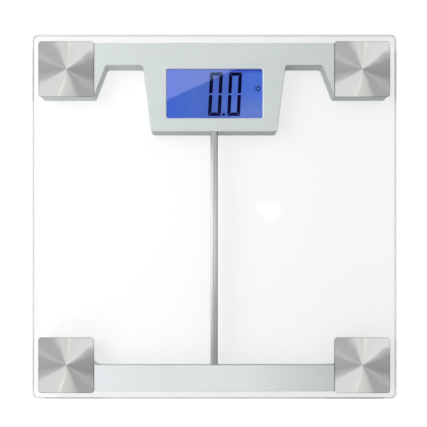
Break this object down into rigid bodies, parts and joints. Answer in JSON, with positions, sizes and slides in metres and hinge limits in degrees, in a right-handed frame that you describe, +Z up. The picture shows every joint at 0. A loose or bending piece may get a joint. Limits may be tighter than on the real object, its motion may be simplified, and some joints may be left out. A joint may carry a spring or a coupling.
{
  "type": "glass bathroom scale",
  "caption": "Square clear glass bathroom scale with a blue lit display in a rear console, steel corner plates over the load cell feet, and a wire stem to a front bar.",
  "frame": {"origin": "centre of the footprint, on the floor plane the four feet rest on", "axes": "+Z up, +Y towards the display end of the platform, +X to the right of a person facing the display"},
  "size_m": [0.31, 0.31, 0.024],
  "materials": {
    "clear_glass": "clear, polished edges",
    "adhesive": "soft acrylic tape",
    "silver_plastic": "silver, fine satin",
    "screw_steel": "zinc plated",
    "brushed_plate": "radial brushed",
    "load_cell_steel": "nickel plated spring steel",
    "potting": "white silicone bead",
    "lcd_glass": "blue backlit display",
    "light_guide": "clear acrylic",
    "lamp": "blue side lamps",
    "white_plastic": "satin",
    "dark_plastic": "fine texture",
    "elastomer": "layered silicone",
    "circuit_board": "green solder mask on glass fibre",
    "black_resin": "semi gloss",
    "cell_can": "nickel plated steel",
    "contact_metal": "nickel plated spring strip",
    "wire_insulation": "soft insulation",
    "foot_rubber": "pale grey, soft"
  },
  "bodies": {
    "platform": {"backlight_leds": "lamp", "board_components": "black_resin", "board_screws": "screw_steel", "coin_cell_left": "cell_can", "coin_cell_right": "cell_can", "console_cover": "silver_plastic", "console_housing": "silver_plastic", "console_screws": "screw_steel", "controller_chip": "black_resin", "corner_plate_front_left": "brushed_plate", "corner_plate_front_right": "brushed_plate", "corner_plate_rear_left": "brushed_plate", "corner_plate_rear_right": "brushed_plate", "front_bar_cover": "silver_plastic", "front_bar_housing": "silver_plastic", "front_bar_screws": "screw_steel", "glass_platform": "clear_glass", "harness_front_left": "wire_insulation", "harness_front_right": "wire_insulation", "harness_rear_left": "wire_insulation", "harness_rear_right": "wire_insulation", "lcd_backlight": "light_guide", "lcd_frame": "white_plastic", "lcd_panel": "lcd_glass", "load_cell_front_left": "load_cell_steel", "load_cell_front_right": "load_cell_steel", "load_cell_rear_left": "load_cell_steel", "load_cell_rear_right": "load_cell_steel", "load_cell_retainer_front_left": "dark_plastic", "load_cell_retainer_front_right": "dark_plastic", "load_cell_retainer_rear_left": "dark_plastic", "load_cell_retainer_rear_right": "dark_plastic", "main_board": "circuit_board", "plate_adhesive_pads": "adhesive", "rim_contacts": "contact_metal", "spring_contacts": "contact_metal", "stem_channel": "silver_plastic", "stem_cover": "silver_plastic", "strain_gauge_front_left": "potting", "strain_gauge_front_right": "potting", "strain_gauge_rear_left": "potting", "strain_gauge_rear_right": "potting", "tact_switch": "black_resin", "zebra_strip": "elastomer"},
    "battery_door": {"battery_door": "silver_plastic"},
    "unit_button": {"unit_button": "dark_plastic", "switch_plunger": "white_plastic"},
    "foot_rear_left": {"foot_cup_rear_left": "dark_plastic", "foot_pad_rear_left": "foot_rubber"},
    "foot_rear_right": {"foot_cup_rear_right": "dark_plastic", "foot_pad_rear_right": "foot_rubber"},
    "foot_front_left": {"foot_cup_front_left": "dark_plastic", "foot_pad_front_left": "foot_rubber"},
    "foot_front_right": {"foot_cup_front_right": "dark_plastic", "foot_pad_front_right": "foot_rubber"}
  },
  "joints": [
    {"name": "battery_door_hinge", "type": "hinge", "parent": "platform", "child": "battery_door", "pos_m": [0, 0.1058, 0.0043], "axis": [1, 0, 0], "range_deg": [0, 90]},
    {"name": "unit_button_press", "type": "slide", "parent": "platform", "child": "unit_button", "axis": [0, 0, 1], "range_m": [0, 0.0004]},
    {"name": "foot_rear_left_seat", "type": "slide", "parent": "platform", "child": "foot_rear_left", "axis": [0, 0, 1], "range_m": [0, 0.0005]},
    {"name": "foot_rear_right_seat", "type": "slide", "parent": "platform", "child": "foot_rear_right", "axis": [0, 0, 1], "range_m": [0, 0.0005]},
    {"name": "foot_front_left_seat", "type": "slide", "parent": "platform", "child": "foot_front_left", "axis": [0, 0, 1], "range_m": [0, 0.0005]},
    {"name": "foot_front_right_seat", "type": "slide", "parent": "platform", "child": "foot_front_right", "axis": [0, 0, 1], "range_m": [0, 0.0005]}
  ]
}
